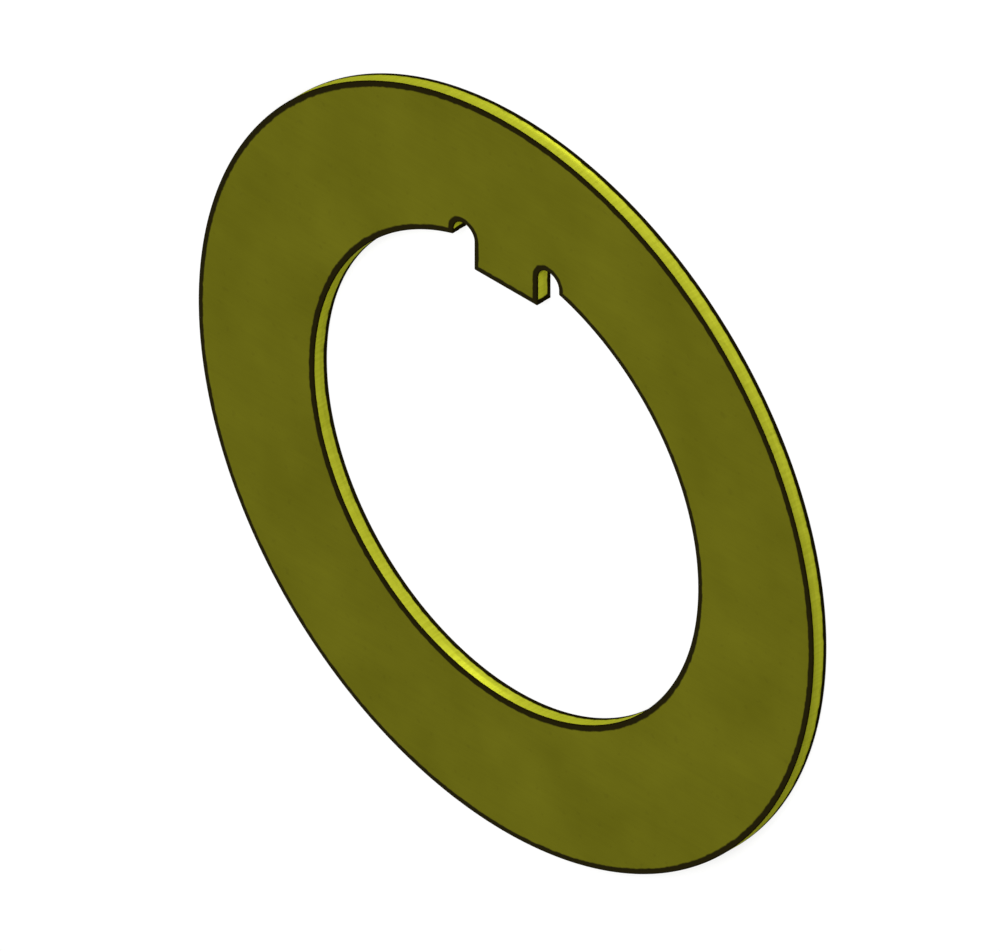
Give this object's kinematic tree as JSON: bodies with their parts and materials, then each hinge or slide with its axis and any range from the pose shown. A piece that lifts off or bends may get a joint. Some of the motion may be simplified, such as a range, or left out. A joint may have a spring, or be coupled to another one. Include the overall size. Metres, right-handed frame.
{
  "type": "internal tab washer",
  "caption": "Flat round steel washer with a square tongue that stands into its bore between relief notches and keys it to a grooved shaft.",
  "frame": {"origin": "on the bore's axis, in the plane of the seat face that the washer lies on", "axes": "+Z along the bore's axis, out of the upper face; +Y from the bore's axis towards the tongue's root; +X to the right when the upper face is seen with the tongue at the top"},
  "size_m": [0.08, 0.08, 0.0018],
  "materials": {
    "olive_chromated_steel": "satin olive chromate over zinc plate, on blanked sheet steel with brighter sheared edges"
  },
  "bodies": {
    "root": {"tongued_washer": "olive_chromated_steel"}
  },
  "joints": []
}
